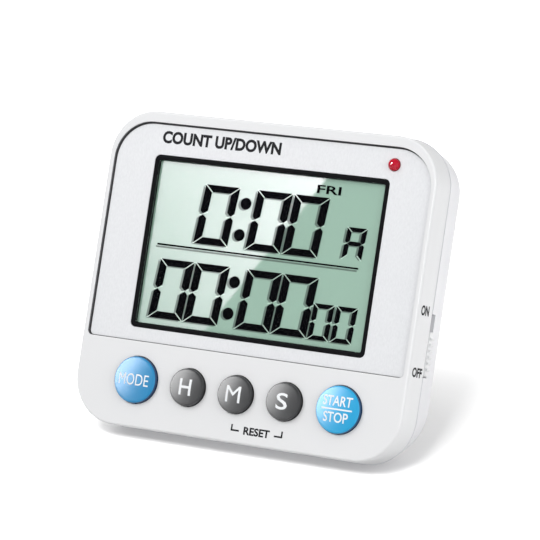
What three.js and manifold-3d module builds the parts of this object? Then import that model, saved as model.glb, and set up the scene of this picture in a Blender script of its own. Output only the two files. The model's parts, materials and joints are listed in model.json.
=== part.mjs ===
// A countertop timer clock: a two-part plastic case with a large liquid crystal display, five push
// buttons, a slide switch on its right side, two AAA cells behind a door, a pair of magnets and a
// fold-out leg that holds it leaning back.
//
// Case frame, in millimetres: +X to the right, +Y from the front face to the rear, +Z up the face,
// with its origin at the middle of the front face. The case group leans the whole frame back and
// sets the object on the surface it stands on.

import * as THREE from "three";
import { mergeVertices } from "three/addons/utils/BufferGeometryUtils.js";
import Module from "manifold-3d";

const wasm = await Module();
wasm.setup();

// ---------------------------------------------------------------- driving dimensions

const GAP = 0.3; // clearance between pieces that meet
const LEAN = THREE.MathUtils.degToRad(18.7); // of the face from upright
const LEG_RAKE = THREE.MathUtils.degToRad(14); // of the open leg from upright
const LEG_OPEN = LEAN + LEG_RAKE; // of the open leg from the rear face

// Case
const CASE_W = 91.6;
const CASE_H = 80.4;
const CASE_CORNER_R = 12.3;
const LOWER_CORNER_GROWTH = 2.8; // how much rounder the lower corners are at the rear
const PARTING_Y = 8.1;
const REAR_Y = 22;
const WALL = 1.8;
const FRONT_WALL_Y = 3.6; // back of the front wall behind the face plate
const CHIN_WALL_Y = 2.4; // back of the front wall behind the buttons
const REAR_WALL_Y = 20.3; // inside of the rear wall
const CONTACT_DY = 1.8; // length of the flat band that meets the surface the timer stands on

// Face plate, set in a shallow pocket
const PLATE_HALF_W = 44.2;
const PLATE_TOP = 37.2;
const PLATE_BOTTOM = -18.3;
const PLATE_TOP_R = 10;
const PLATE_BOTTOM_R = 1.3;
const PLATE_Y = 0.8;
const PLATE_THICK = 0.7;

// Display
const BEZEL_W = 65.3;
const BEZEL_H = 43.8;
const BEZEL_R = 1.3;
const BEZEL_IN_W = 63.3;
const BEZEL_IN_H = 41.5;
const BEZEL_Y = 0.5;
const DISPLAY_X = 0.1;
const DISPLAY_Z = 7.15;

// Buttons, from left to right: name, x, cap diameter
const BUTTON_Z = -28;
const BUTTONS = [
  { name: "mode", x: -27.95, diameter: 11.8, colour: 0x35a0e6 },
  { name: "hour", x: -13.1, diameter: 9.4, colour: 0x4c4f52 },
  { name: "minute", x: 0.4, diameter: 9.4, colour: 0x4c4f52 },
  { name: "second", x: 13.9, diameter: 9.4, colour: 0x4c4f52 },
  { name: "start_stop", x: 28.75, diameter: 11.8, colour: 0x22a4ec },
];
const BUTTON_RISE = 1.9; // of the top of the cap above the front face
const FLANGE_EXTRA_R = 0.9;

// Signal lamp
const LED_X = 33.3;
const LED_Z = 32.8;
const LED_R = 1.5;

// Slide switch on the right side
const SLOT_TOP = -1.7;
const SLOT_BOTTOM = -17.3;
const SLOT_BACK_Y = 11;
const KNOB_LENGTH = 11;
const KNOB_RIDGES = 6;

// Circuit board and fasteners
const BOARD_Y = 7.2;
const BOARD_THICK = 1.2;
const CASE_SCREWS = [
  { name: "top_left", x: -36.2, z: 27.5 },
  { name: "top_right", x: 36.2, z: 27.5 },
  { name: "bottom_left", x: -36.2, z: -21 },
  { name: "bottom_right", x: 36.2, z: -21 },
];
const BOARD_SCREWS = [
  { name: "left", x: -39.2, z: 12 },
  { name: "right", x: 39.2, z: 12 },
];

// Battery bay
const BAY_HALF_W = 26.2;
const BAY_BOTTOM = 12.2;
const BAY_TOP = 34.2;
const BAY_FLOOR_Y = 9.8;
const BAY_WALL = 1;
const DOOR_LEDGE = 1.2; // how far the door overlaps the bay all round
const DOOR_SEAT_Y = 20.6;
const CELL_Y = 15.3;
const CELL_R = 5.15;
const CELL_TIP_X = 24.9;
const CELLS = [
  { name: "upper", z: 28.8, side: 1 },
  { name: "lower", z: 17.6, side: -1 },
];

// Fold-out leg
const HINGE_Y = 20;
const HINGE_Z = 7;
const LEG_HALF_W = 10.5;
const LEG_FRONT = -0.9; // faces of the leg in its own frame, whose origin is the hinge axis
const LEG_BACK = 1.3;
const BARREL_R = 1.9;
const PIN_R = 0.8;
const RECESS_HALF_W = 11;
const RECESS_FLOOR_Y = 18.8;
const HINGE_POCKET_Y = 17.6;
const RECESS_TOP = 9.6;

// Magnets and buzzer
const MAGNET_X = 24;
const MAGNET_Z = -20;
const MAGNET_R = 6;
const MAGNET_THICK = 2.2;
const BUZZER_X = -26;
const BUZZER_Z = -1.5;
const BUZZER_R = 10.6;

// ---------------------------------------------------------------- outline of the case

// Rear profile: how far the outline is set in at each depth behind the parting line. The band after
// the draft is level when the case leans, and the case rests on it.
const DRAFT_END = { y: 17, inset: 1.33 };
const BAND_END = {
  y: DRAFT_END.y + CONTACT_DY,
  inset: DRAFT_END.inset + CONTACT_DY * Math.tan(LEAN),
};
const REAR_PROFILE = [
  [PARTING_Y + GAP, 0.03],
  [DRAFT_END.y, DRAFT_END.inset],
  [BAND_END.y, BAND_END.inset],
  [20, 2.75],
  [20.9, 3.75],
  [21.5, 4.8],
  [21.87, 6],
  [REAR_Y, 7.2],
];
const FRONT_PROFILE = [
  [0, 0.85],
  [0.12, 0.5],
  [0.4, 0.3],
  [1, 0.22],
  [PARTING_Y, 0],
];

// ---------------------------------------------------------------- shape helpers

// Corner points of a rectangle with round corners, anticlockwise as seen from the front.
function roundedOutline(x0, x1, z0, z1, topR, bottomR, steps = 6) {
  const corners = [
    [x1 - topR, z1 - topR, topR, 0],
    [x0 + topR, z1 - topR, topR, 1],
    [x0 + bottomR, z0 + bottomR, bottomR, 2],
    [x1 - bottomR, z0 + bottomR, bottomR, 3],
  ];
  return corners.flatMap(([x, z, r, quarter]) =>
    Array.from({ length: steps + 1 }, (_, i) => {
      const angle = ((quarter + i / steps) * Math.PI) / 2;
      return new THREE.Vector2(x + r * Math.cos(angle), z + r * Math.sin(angle));
    }),
  );
}

function caseOutline(inset, lowerGrowth = 0) {
  const r = Math.max(CASE_CORNER_R - inset, 1);
  const halfW = CASE_W / 2 - inset;
  const halfH = CASE_H / 2 - inset;
  return roundedOutline(-halfW, halfW, -halfH, halfH, r, r + lowerGrowth, 7);
}

// Section of the rear shell. Its lower corners get rounder up to the end of the draft.
function rearSection([y, inset]) {
  const share = THREE.MathUtils.clamp((y - PARTING_Y) / (DRAFT_END.y - PARTING_Y), 0, 1);
  return { y, outline: caseOutline(inset, LOWER_CORNER_GROWTH * share) };
}

// Closed solid through matching outlines, each at its own depth.
function loft(sections) {
  const count = sections[0].outline.length;
  const positions = sections.flatMap(({ y, outline }) => outline.flatMap((p) => [p.x, y, p.y]));
  const faces = [];
  for (let s = 0; s + 1 < sections.length; s++) {
    for (let i = 0; i < count; i++) {
      const a = s * count + i;
      const b = s * count + ((i + 1) % count);
      faces.push(a, a + count, b + count, a, b + count, b);
    }
  }
  const last = (sections.length - 1) * count;
  for (const [i, j, k] of THREE.ShapeUtils.triangulateShape(sections[0].outline, [])) {
    faces.push(i, j, k, last + i, last + k, last + j);
  }
  const geometry = new THREE.BufferGeometry();
  geometry.setAttribute("position", new THREE.Float32BufferAttribute(positions, 3));
  geometry.setIndex(faces);
  return solid(geometry);
}

function solid(geometry) {
  const bare = geometry.clone();
  bare.deleteAttribute("normal");
  bare.deleteAttribute("uv");
  const merged = mergeVertices(bare, 1e-4);
  const vertProperties = new Float32Array(merged.attributes.position.array);
  const triVerts = new Uint32Array(merged.index.array);
  return new wasm.Manifold(new wasm.Mesh({ numProp: 3, vertProperties, triVerts }));
}

function box(x0, x1, y0, y1, z0, z1) {
  const geometry = new THREE.BoxGeometry(x1 - x0, y1 - y0, z1 - z0);
  return solid(geometry.translate((x0 + x1) / 2, (y0 + y1) / 2, (z0 + z1) / 2));
}

// Round bar along the depth of the case.
function bar(r, y0, y1, x, z, sides = 20) {
  const geometry = new THREE.CylinderGeometry(r, r, y1 - y0, sides);
  return solid(geometry.translate(x, (y0 + y1) / 2, z));
}

// Flat plate of an outline in the plane of the face.
function plate(outline, y0, y1) {
  return loft([
    { y: y0, outline },
    { y: y1, outline },
  ]);
}

// Turned piece: [radius, depth] pairs from the front to the back, about an axis along the depth.
function turned(profile, x, z, sides = 24) {
  const points = profile.map(([r, y]) => new THREE.Vector2(r, y));
  return solid(new THREE.LatheGeometry(points, sides).translate(x, 0, z));
}

// Solid of a side view, given as [y, z] pairs anticlockwise as seen from the right, across the width.
function across(sideView, x0, x1) {
  const shape = new THREE.Shape(sideView.map(([y, z]) => new THREE.Vector2(y, z)));
  const geometry = new THREE.ExtrudeGeometry(shape, { depth: x1 - x0, bevelEnabled: false });
  const axes = new THREE.Matrix4().set(0, 0, 1, x0, 1, 0, 0, 0, 0, 1, 0, 0, 0, 0, 0, 1);
  return solid(geometry.applyMatrix4(axes));
}

function tube(curve, r, steps, sides = 8) {
  const section = new THREE.Shape();
  section.absarc(0, 0, r, 0, 2 * Math.PI);
  const geometry = new THREE.ExtrudeGeometry(section, {
    steps,
    extrudePath: curve,
    curveSegments: sides / 2,
  });
  return solid(geometry);
}

function mirrored(from, to, side) {
  return side > 0 ? [from, to] : [-to, -from];
}

const plain = (colour, roughness, metalness = 0) =>
  new THREE.MeshStandardMaterial({ color: colour, roughness, metalness });

const WHITE = plain(0xf1f1f2, 0.35);
const SILVER_WHITE = plain(0xe6e7e9, 0.42, 0.1);
const BLACK = plain(0x16171a, 0.35);
const CLEAR = plain(0xe8f0ec, 0.05);
const LCD_GREEN = plain(0x9ebbac, 0.25);
const STEEL = plain(0xb8babd, 0.3, 1);
const BRASS = plain(0xc9a55a, 0.35, 1);
const RUBBER = plain(0xd5d4d0, 0.8);
const CARBON = plain(0x1c1c1c, 0.7);
const BOARD_GREEN = plain(0x2e6b3c, 0.5);

const timer = new THREE.Group();
const caseGroup = new THREE.Group();
const legGroup = new THREE.Group();
timer.add(caseGroup);
caseGroup.add(legGroup);

function add(name, manifold, material, parent = caseGroup) {
  const { numProp, vertProperties, triVerts } = manifold.getMesh();
  const geometry = new THREE.BufferGeometry();
  geometry.setAttribute("position", new THREE.BufferAttribute(vertProperties.slice(), numProp));
  geometry.setIndex(new THREE.BufferAttribute(triVerts.slice(), 1));
  geometry.computeVertexNormals();
  const mesh = new THREE.Mesh(geometry, material);
  mesh.name = name;
  parent.add(mesh);
}

// ---------------------------------------------------------------- front shell, face plate, display

function displayOutline(w, h, r) {
  return roundedOutline(
    DISPLAY_X - w / 2, DISPLAY_X + w / 2, DISPLAY_Z - h / 2, DISPLAY_Z + h / 2, r, r, 3,
  );
}

function plateOutline(inset) {
  return roundedOutline(
    -PLATE_HALF_W + inset, PLATE_HALF_W - inset, PLATE_BOTTOM + inset, PLATE_TOP - inset,
    PLATE_TOP_R - inset, PLATE_BOTTOM_R - inset, 6,
  );
}

const displayHole = displayOutline(BEZEL_W + 2 * GAP, BEZEL_H + 2 * GAP, BEZEL_R + GAP);
const hollow = (inset, y0, y1) => plate(caseOutline(inset), y0, y1);

let frontShell = loft(FRONT_PROFILE.map(([y, inset]) => ({ y, outline: caseOutline(inset) })));
frontShell = frontShell.subtract(hollow(WALL, FRONT_WALL_Y, PARTING_Y + 1));
const chinPocket = hollow(WALL, CHIN_WALL_Y, FRONT_WALL_Y + 1)
  .intersect(box(-50, 50, 0, 10, -50, PLATE_BOTTOM - 1));
frontShell = frontShell.subtract(chinPocket);
frontShell = frontShell.subtract(plate(plateOutline(0), -1, PLATE_Y + PLATE_THICK + GAP));
for (const { x, z } of CASE_SCREWS) {
  frontShell = frontShell.add(bar(2.7, CHIN_WALL_Y - 0.5, 8.6, x, z, 16));
  frontShell = frontShell.subtract(bar(1.4, 4.2, 9, x, z, 12));
}
for (const { x, z } of BOARD_SCREWS) {
  frontShell = frontShell.add(bar(2, FRONT_WALL_Y - 0.5, BOARD_Y - GAP, x, z, 14));
  frontShell = frontShell.subtract(bar(1.1, 4.4, 8, x, z, 10));
}
frontShell = frontShell.subtract(plate(displayHole, 0, 5));
for (const { x, diameter } of BUTTONS) {
  frontShell = frontShell.subtract(bar(diameter / 2 + 0.35, -1, 4, x, BUTTON_Z, 32));
}
frontShell = frontShell.subtract(bar(LED_R + GAP, 0, 5, LED_X, LED_Z, 16));
add("front_shell", frontShell, WHITE);

const facePlate = plate(plateOutline(GAP), PLATE_Y, PLATE_Y + PLATE_THICK)
  .subtract(plate(displayHole, 0, 5))
  .subtract(bar(LED_R + GAP, 0, 5, LED_X, LED_Z, 16));
add("face_plate", facePlate, SILVER_WHITE);

const stackOutline = displayOutline(BEZEL_IN_W - 2 * GAP, BEZEL_IN_H - 2 * GAP, 0.4);
const windowBezel = plate(displayOutline(BEZEL_W, BEZEL_H, BEZEL_R), BEZEL_Y, 3.5)
  .subtract(plate(displayOutline(BEZEL_IN_W, BEZEL_IN_H, 0.6), 0, 5));
add("window_bezel", windowBezel, BLACK);
add("display_window", plate(stackOutline, 0.75, 1.55), CLEAR);
add("lcd_glass", plate(stackOutline, 1.85, 3.55), LCD_GREEN);

const ZEBRA = { halfW: 28.5, z0: -11.9, z1: -10.1 };
let lcdHolder = box(-33, 33, 3.95, 6, -16.5, 31);
for (const x of [-31, 31]) {
  for (const z of [-14.5, 22]) {
    lcdHolder = lcdHolder.add(box(x - 1.5, x + 1.5, 5.5, BOARD_Y - GAP, z - 1.5, z + 1.5));
  }
}
lcdHolder = lcdHolder.subtract(
  box(-ZEBRA.halfW - 0.4, ZEBRA.halfW + 0.4, 3, 7, ZEBRA.z0 - 0.4, ZEBRA.z1 + 0.4),
);
add("lcd_holder", lcdHolder, plain(0xf4f4f0, 0.6));
const zebraStrip = box(-ZEBRA.halfW, ZEBRA.halfW, 3.95, BOARD_Y - GAP, ZEBRA.z0, ZEBRA.z1);
add("zebra_strip", zebraStrip, CARBON);

// ---------------------------------------------------------------- buttons and key mat

for (const { name, x, diameter, colour } of BUTTONS) {
  const r = diameter / 2;
  const flangeR = r + FLANGE_EXTRA_R;
  const cap = turned(
    [
      [0, -BUTTON_RISE],
      [r * 0.42, -BUTTON_RISE + 0.07],
      [r * 0.7, -BUTTON_RISE + 0.26],
      [r * 0.88, -BUTTON_RISE + 0.56],
      [r * 0.97, -BUTTON_RISE + 0.95],
      [r, -BUTTON_RISE + 1.4],
      [r, CHIN_WALL_Y + GAP],
      [flangeR, CHIN_WALL_Y + GAP],
      [flangeR, 3.7],
      [0, 3.7],
    ],
    x, BUTTON_Z, 32,
  );
  add(name + "_button", cap, plain(colour, 0.35));
  add(name + "_contact_pill", bar(2.1, 4, 6.2, x, BUTTON_Z, 16), CARBON);
}

let keyMat = box(-35.4, 35.6, 4.8, 5.8, -36, -20.6)
  .add(box(-35.4, 35.6, 5.5, BOARD_Y - GAP, -36, -34.8));
for (const { x, diameter } of BUTTONS) {
  keyMat = keyMat.subtract(bar(2.1 + GAP, 4, 8, x, BUTTON_Z, 16));
  keyMat = keyMat.add(
    bar(diameter / 2, 5.5, BOARD_Y - GAP, x, BUTTON_Z, 20)
      .subtract(bar(diameter / 2 - 1.2, 4, 8, x, BUTTON_Z, 20)),
  );
}
for (const { x, z } of CASE_SCREWS) {
  keyMat = keyMat.subtract(bar(3.1, 4, 8, x, z, 16));
}
add("key_mat", keyMat, RUBBER);

// ---------------------------------------------------------------- circuit board and what it carries

let board = plate(roundedOutline(-42, 42, -36.4, 36.4, 8.5, 8.5, 4), BOARD_Y, BOARD_Y + BOARD_THICK);
for (const { x, z } of CASE_SCREWS) {
  board = board.subtract(bar(3.1, 6, 10, x, z, 16));
}
for (const { x, z } of BOARD_SCREWS) {
  board = board.subtract(bar(1.2, 6, 10, x, z, 12));
}
add("circuit_board", board, BOARD_GREEN);
const boardBack = BOARD_Y + BOARD_THICK + GAP;

const chipBlob = turned(
  [[0, boardBack], [5.4, boardBack], [4.9, boardBack + 0.7], [3.2, boardBack + 1.4], [0, boardBack + 1.7]],
  -3, -12, 20,
);
add("chip_blob", chipBlob, plain(0x101012, 0.4));

const crystal = new THREE.CylinderGeometry(1, 1, 6, 12).rotateX(Math.PI / 2);
add("crystal_can", solid(crystal.translate(9, boardBack + 1.1, -12)), STEEL);
add("capacitor", bar(2.5, boardBack, boardBack + 5.5, 18, -4, 16), plain(0x23304a, 0.35));

const led = turned(
  [
    [0, -0.55], [0.75, -0.35], [1.25, 0.05], [LED_R, 0.65], [LED_R, 4.4], [1.9, 4.4], [1.9, 5.2], [0, 5.2],
  ],
  LED_X, LED_Z, 18,
);
const leads = [-0.9, 0.65].map((dx) =>
  box(LED_X + dx, LED_X + dx + 0.25, 5, BOARD_Y - GAP, LED_Z - 0.12, LED_Z + 0.12),
);
add("signal_led", led.add(leads[0]).add(leads[1]), plain(0xc4151f, 0.15));

for (const { name, x, z } of BOARD_SCREWS) {
  const screw = bar(0.75, 4.8, boardBack + 0.2, x, z, 10).add(bar(1.7, boardBack, boardBack + 1.2, x, z, 14));
  add("board_screw_" + name, screw, STEEL);
}

// Slide switch: a body on the board, a lever in its slot, and the knob that shows outside.
const KNOB_BOTTOM = SLOT_BOTTOM + GAP;
const KNOB_TOP = KNOB_BOTTOM + KNOB_LENGTH;
const LEVER_Z = (KNOB_BOTTOM + KNOB_TOP) / 2;
const switchBody = box(35.5, 40.2, boardBack, 12.4, -16.8, -2.6)
  .subtract(box(36.9, 41, 9.5, 11.3, LEVER_Z - 1.9, LEVER_Z + 6));
add("switch_body", switchBody, STEEL);
add("switch_lever", box(37.3, 42.2, 9.85, 10.75, LEVER_Z - 1.4, LEVER_Z + 1.4), BLACK);

const knobY = [PARTING_Y + 2 * GAP, SLOT_BACK_Y - GAP];
const knobOuterX = CASE_W / 2 + 0.15;
let knob = box(42.5, knobOuterX, knobY[0], knobY[1], KNOB_BOTTOM, KNOB_TOP);
const pitch = (KNOB_LENGTH - 2) / KNOB_RIDGES;
for (let i = 0; i < KNOB_RIDGES; i++) {
  const z = KNOB_BOTTOM + 1 + pitch * (i + 0.5);
  knob = knob.add(box(knobOuterX - 0.3, knobOuterX + 0.45, knobY[0], knobY[1], z - 0.4, z + 0.4));
}
add("switch_knob", knob, WHITE);

// ---------------------------------------------------------------- rear shell

const rearOuter = loft(REAR_PROFILE.map(rearSection));
const rearInner = loft(
  [[PARTING_Y - 1, WALL], [DRAFT_END.y, DRAFT_END.inset + WALL], [REAR_WALL_Y, 4.6 + WALL]]
    .map(rearSection),
);
let rearShell = rearOuter.subtract(rearInner);

// A tongue that locates the rear shell in the front shell.
const tongue = hollow(WALL + GAP, PARTING_Y - 1.1, PARTING_Y + 1)
  .add(hollow(WALL - 0.8, PARTING_Y + GAP, PARTING_Y + 1.8))
  .subtract(hollow(WALL + 1.1, PARTING_Y - 2, PARTING_Y + 3));
rearShell = rearShell.add(tongue);

// Blocks inside the shell, trimmed to its outside, before anything is cut from them.
const blocks = [
  box(-BAY_HALF_W - BAY_WALL, BAY_HALF_W + BAY_WALL, BAY_FLOOR_Y - 0.9, REAR_Y,
    BAY_BOTTOM - BAY_WALL, BAY_TOP + BAY_WALL),
  box(-RECESS_HALF_W - 3.2, RECESS_HALF_W + 3.2, HINGE_POCKET_Y - 1.2, REAR_Y, 2.6, BAY_BOTTOM - 0.5),
  box(-RECESS_HALF_W - 1.2, RECESS_HALF_W + 1.2, RECESS_FLOOR_Y - 1.2, REAR_Y, -40, 4),
  ...[-1, 1].map((side) => bar(MAGNET_R + 1.5, REAR_Y - 3.7, REAR_Y, side * MAGNET_X, MAGNET_Z, 24)),
  ...CASE_SCREWS.map(({ x, z }) => bar(3.6, 8.9, REAR_Y, x, z, 20)),
  bar(BUZZER_R + 0.4, 17.5, REAR_Y, BUZZER_X, BUZZER_Z, 32)
    .subtract(bar(BUZZER_R - 0.9, 17, REAR_WALL_Y, BUZZER_X, BUZZER_Z, 32)),
];
for (const block of blocks) {
  rearShell = rearShell.add(block.intersect(rearOuter));
}

const doorSeat = [
  -BAY_HALF_W - DOOR_LEDGE, BAY_HALF_W + DOOR_LEDGE, BAY_BOTTOM - DOOR_LEDGE, BAY_TOP + DOOR_LEDGE,
];
const cuts = [
  box(-BAY_HALF_W, BAY_HALF_W, BAY_FLOOR_Y, REAR_Y + 1, BAY_BOTTOM, BAY_TOP),
  plate(roundedOutline(...doorSeat, 2, 2, 3), DOOR_SEAT_Y, REAR_Y + 1),
  box(-RECESS_HALF_W, RECESS_HALF_W, RECESS_FLOOR_Y, REAR_Y + 1, -42, RECESS_TOP),
  box(-RECESS_HALF_W, RECESS_HALF_W, HINGE_POCKET_Y, REAR_Y + 1, 4.2, RECESS_TOP),
  solid(
    new THREE.CylinderGeometry(PIN_R + GAP, PIN_R + GAP, 2 * RECESS_HALF_W + 4.4, 16)
      .rotateZ(Math.PI / 2).translate(0, HINGE_Y, HINGE_Z),
  ),
  box(CASE_W / 2 - 5, CASE_W / 2 + 1, PARTING_Y - 2, SLOT_BACK_Y, SLOT_BOTTOM, SLOT_TOP),
  ...[-1, 1].map((side) =>
    bar(MAGNET_R + GAP, REAR_Y - MAGNET_THICK - GAP, REAR_Y + 1, side * MAGNET_X, MAGNET_Z, 28)),
];
for (const { x, z } of CASE_SCREWS) {
  cuts.push(bar(1.4, 8, REAR_Y, x, z, 12), bar(2.8, 10.5, REAR_Y + 1, x, z, 18));
}
for (let i = 0; i < 6; i++) {
  const angle = (i * Math.PI) / 3;
  const x = BUZZER_X + 3.4 * Math.cos(angle);
  const z = BUZZER_Z + 3.4 * Math.sin(angle);
  cuts.push(bar(0.8, REAR_WALL_Y - 1, REAR_Y + 1, x, z, 8));
}
cuts.push(bar(0.8, REAR_WALL_Y - 1, REAR_Y + 1, BUZZER_X, BUZZER_Z, 8));
for (const { z } of CELLS) {
  for (const side of [-1, 1]) {
    const [x0, x1] = mirrored(24.8, 26.1, side);
    cuts.push(box(x0, x1, 8, BAY_FLOOR_Y + 1, z - 1.6, z + 1.6));
  }
}
for (const cut of cuts) {
  rearShell = rearShell.subtract(cut);
}
add("rear_shell", rearShell, WHITE);

for (const { name, x, z } of CASE_SCREWS) {
  const screw = bar(1.05, 4.6, 11, x, z, 10)
    .add(bar(2.4, 10.8, 12.4, x, z, 16))
    .subtract(box(x - 0.3, x + 0.3, 11.8, 13, z - 1.5, z + 1.5))
    .subtract(box(x - 1.5, x + 1.5, 11.8, 13, z - 0.3, z + 0.3));
  add("case_screw_" + name, screw, STEEL);
}

// ---------------------------------------------------------------- cells, contacts and door

class CoilCurve extends THREE.Curve {
  constructor(side, z) {
    super();
    this.side = side;
    this.z = z;
  }

  // From the wide end on its plate to the narrow end against the cell.
  getPoint(t, target = new THREE.Vector3()) {
    const angle = t * 3 * 2 * Math.PI;
    const r = 3.1 - 1.1 * t;
    const x = -this.side * (25.2 - 4.9 * t);
    return target.set(x, CELL_Y + r * Math.cos(angle), this.z + r * Math.sin(angle));
  }
}

for (const { name, z, side } of CELLS) {
  const profile = [
    [0, -19.6], [3.6, -19.6], [CELL_R, -19], [CELL_R, 23.2], [4.6, 23.9], [1.9, 23.9], [1.9, CELL_TIP_X],
    [0, CELL_TIP_X],
  ];
  const cell = new THREE.LatheGeometry(profile.map(([r, y]) => new THREE.Vector2(r, y)), 20)
    .rotateZ(-side * Math.PI / 2)
    .translate(0, CELL_Y, z);
  add("battery_" + name, solid(cell), plain(0x8f9aa3, 0.35, 0.4));

  const [plateX0, plateX1] = mirrored(25.2, 25.7, side);
  const flatContact = box(plateX0, plateX1, 10.1, 19.5, z - 3.6, z + 3.6)
    .add(box(plateX0, plateX1, boardBack, 11, z - 1.2, z + 1.2));
  add("flat_contact_" + name, flatContact, STEEL);

  const [baseX0, baseX1] = mirrored(25.2, 25.7, -side);
  const springContact = box(baseX0, baseX1, 10.1, 19.5, z - 3.6, z + 3.6)
    .add(box(baseX0, baseX1, boardBack, 11, z - 1.2, z + 1.2))
    .add(tube(new CoilCurve(side, z), 0.3, 40, 6));
  add("spring_contact_" + name, springContact, STEEL);
}

const doorOutline = roundedOutline(
  doorSeat[0] + GAP, doorSeat[1] - GAP, doorSeat[2] + GAP, doorSeat[3] - GAP, 1.7, 1.7, 3,
);
let door = plate(doorOutline, DOOR_SEAT_Y + GAP, REAR_Y + 1).intersect(rearOuter);
for (let i = 0; i < 4; i++) {
  const z = 27.4 + i * 1.5;
  door = door.subtract(box(-6, 6, REAR_Y - 0.35, REAR_Y + 1, z - 0.35, z + 0.35));
}
add("battery_door", door, WHITE);

// ---------------------------------------------------------------- magnets, buzzer

for (const [name, side] of [["left", -1], ["right", 1]]) {
  const magnet = bar(MAGNET_R, REAR_Y - MAGNET_THICK, REAR_Y, side * MAGNET_X, MAGNET_Z, 28);
  add("magnet_" + name, magnet, STEEL);
}
add("buzzer_disc", bar(BUZZER_R, 16.8, 17.2, BUZZER_X, BUZZER_Z, 32), BRASS);
for (const [name, dx, colour] of [["red", -2.2, 0xb3202a], ["black", 2.2, 0x1a1a1a]]) {
  const x = BUZZER_X + dx;
  const path = new THREE.CatmullRomCurve3([
    new THREE.Vector3(x, 16.3, BUZZER_Z),
    new THREE.Vector3(x + 1, 14.4, BUZZER_Z - 3),
    new THREE.Vector3(x + 4, 11.5, BUZZER_Z - 5),
    new THREE.Vector3(x + 5, boardBack + 0.2, BUZZER_Z - 5),
  ]);
  add("buzzer_wire_" + name, tube(path, 0.45, 10, 8), plain(colour, 0.5));
}

// ---------------------------------------------------------------- leg, in a frame on its hinge axis

const pin = new THREE.CylinderGeometry(PIN_R, PIN_R, 2 * RECESS_HALF_W + 3.6, 16).rotateZ(Math.PI / 2);
add("hinge_pin", solid(pin.translate(0, HINGE_Y, HINGE_Z)), STEEL);

const cosLean = Math.cos(LEAN);
const sinLean = Math.sin(LEAN);
const floorLevel = -DRAFT_END.y * sinLean - (CASE_H / 2 - DRAFT_END.inset) * cosLean;
const hingeLevel = -HINGE_Y * sinLean + HINGE_Z * cosLean;
const hingeHeight = hingeLevel - floorLevel;
// The foot is cut level, so its end is lower on the back of the leg.
const footZ = (y) => -(hingeHeight + y * Math.sin(LEG_RAKE)) / Math.cos(LEG_RAKE);

const legSide = [
  [LEG_FRONT, 0],
  [LEG_FRONT, footZ(LEG_FRONT)],
  [LEG_BACK + 0.5, footZ(LEG_BACK + 0.5)],
  [LEG_BACK + 0.5, footZ(0) + 2.5],
  [LEG_BACK, footZ(0) + 4],
  [LEG_BACK, 0],
];
const barrel = new THREE.CylinderGeometry(BARREL_R, BARREL_R, 2 * LEG_HALF_W, 20).rotateZ(Math.PI / 2);
const pinBore = new THREE.CylinderGeometry(PIN_R + GAP, PIN_R + GAP, 30, 16).rotateZ(Math.PI / 2);
const grip = box(-6, 6, LEG_BACK - 0.5, LEG_BACK + 2, footZ(0) + 5, footZ(0) + 12);
const leg = across(legSide, -LEG_HALF_W, LEG_HALF_W)
  .add(solid(barrel))
  .add(box(-LEG_HALF_W, LEG_HALF_W, -1, 1, 0, 2.3))
  .subtract(solid(pinBore))
  .subtract(grip);
add("stand_leg", leg, WHITE, legGroup);
legGroup.position.set(0, HINGE_Y, HINGE_Z);
legGroup.rotation.x = LEG_OPEN;

// ---------------------------------------------------------------- stand it on the surface

caseGroup.rotation.x = -LEAN;
timer.updateMatrixWorld(true);
const bounds = new THREE.Box3().setFromObject(timer, true);
const middle = bounds.getCenter(new THREE.Vector3());
caseGroup.position.set(-middle.x, -middle.y, -bounds.min.z);

export default timer;
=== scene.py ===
"""Lab timer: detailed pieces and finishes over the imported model.

Pieces are drawn in the case frame, in millimetres: x to the right, y from the front face to the rear,
z up the face. CASE carries that frame into the row frame, in metres.
"""

import json
import math

import bmesh
import bpy
from mathutils import Matrix, Vector


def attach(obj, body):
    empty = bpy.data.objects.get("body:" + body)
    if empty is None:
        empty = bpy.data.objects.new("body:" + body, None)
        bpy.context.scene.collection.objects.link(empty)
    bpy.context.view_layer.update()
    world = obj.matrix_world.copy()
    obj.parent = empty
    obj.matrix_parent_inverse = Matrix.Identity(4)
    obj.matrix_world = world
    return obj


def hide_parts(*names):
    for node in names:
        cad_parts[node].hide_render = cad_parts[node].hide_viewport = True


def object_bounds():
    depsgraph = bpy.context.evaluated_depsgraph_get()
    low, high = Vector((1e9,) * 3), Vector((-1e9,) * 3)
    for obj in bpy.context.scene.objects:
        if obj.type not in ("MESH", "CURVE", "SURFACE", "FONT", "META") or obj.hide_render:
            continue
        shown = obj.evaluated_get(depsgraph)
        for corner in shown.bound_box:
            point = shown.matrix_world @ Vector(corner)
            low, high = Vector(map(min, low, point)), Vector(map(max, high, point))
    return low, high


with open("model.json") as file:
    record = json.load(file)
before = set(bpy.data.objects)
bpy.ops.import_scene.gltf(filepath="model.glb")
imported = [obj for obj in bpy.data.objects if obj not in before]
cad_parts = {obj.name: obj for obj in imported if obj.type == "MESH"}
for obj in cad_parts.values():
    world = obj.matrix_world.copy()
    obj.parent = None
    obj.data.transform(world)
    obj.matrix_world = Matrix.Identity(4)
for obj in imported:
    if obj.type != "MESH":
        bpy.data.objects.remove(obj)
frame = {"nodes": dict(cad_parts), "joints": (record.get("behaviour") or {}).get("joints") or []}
cad_low, cad_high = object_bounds()

# ---------------------------------------------------------------- frames

MM = 0.001
HINGE_IN_CASE = Vector((0, 20, 7))

joints = {joint["name"]: joint for joint in frame["joints"]}
depth_axis = Vector(joints["door_lift_off"]["axis"]).normalized()
up_axis = Vector(joints["power_slide"]["axis"]).normalized()
hinge = Vector(joints["stand_hinge"]["pos_m"])
face_centre = hinge - MM * (HINGE_IN_CASE.y * depth_axis + HINGE_IN_CASE.z * up_axis)
lean = math.atan2(up_axis.y, up_axis.z)
leg_open = -math.radians(joints["stand_hinge"]["range_deg"][0])

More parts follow.
